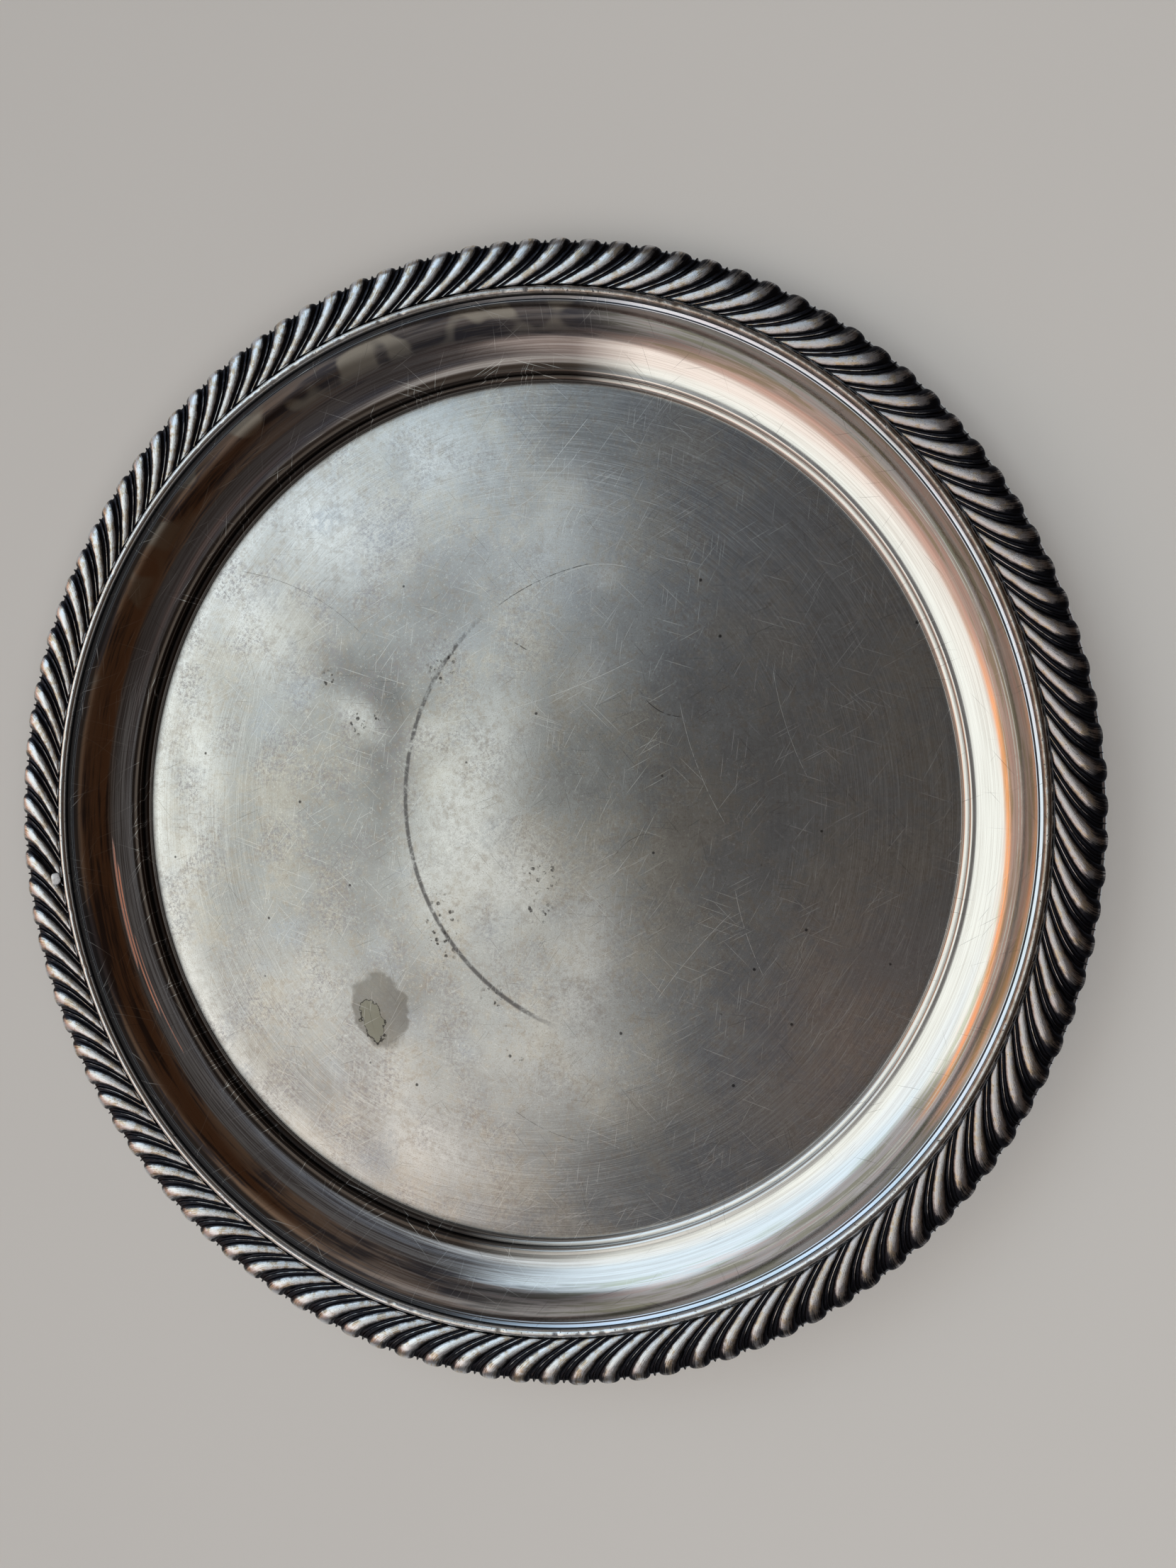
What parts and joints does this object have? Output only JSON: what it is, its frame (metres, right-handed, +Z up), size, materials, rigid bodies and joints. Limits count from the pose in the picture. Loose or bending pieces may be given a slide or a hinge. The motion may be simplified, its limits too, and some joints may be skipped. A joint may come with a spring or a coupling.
{
  "type": "serving tray",
  "caption": "Round silver-plated serving tray with a flat well, a coved wall and a twisted gadroon border round a beaded rim.",
  "frame": {"origin": "centre of the tray's underside, at the bottom of its box", "axes": "+Z straight up out of the well with the tray lying flat; +X and +Y in the plane of the base"},
  "size_m": [0.305, 0.305, 0.0182],
  "materials": {
    "body_plate": "silver plate over copper, polished but worn to a fine satin of scratches, with tarnish",
    "border_plate": "silver plate, ridges rubbed bright and valleys oxidised nearly black",
    "bead_plate": "silver plate, rubbed bright on top and dark along both sides",
    "solder": "dull grey soft solder, hidden",
    "joint_solder": "pale grey soft solder, matt"
  },
  "bodies": {
    "root": {"tray_body": "body_plate", "gadroon_border": "border_plate", "bead_wire": "bead_plate", "border_solder_fill": "solder", "joint_solder": "joint_solder"}
  },
  "joints": []
}
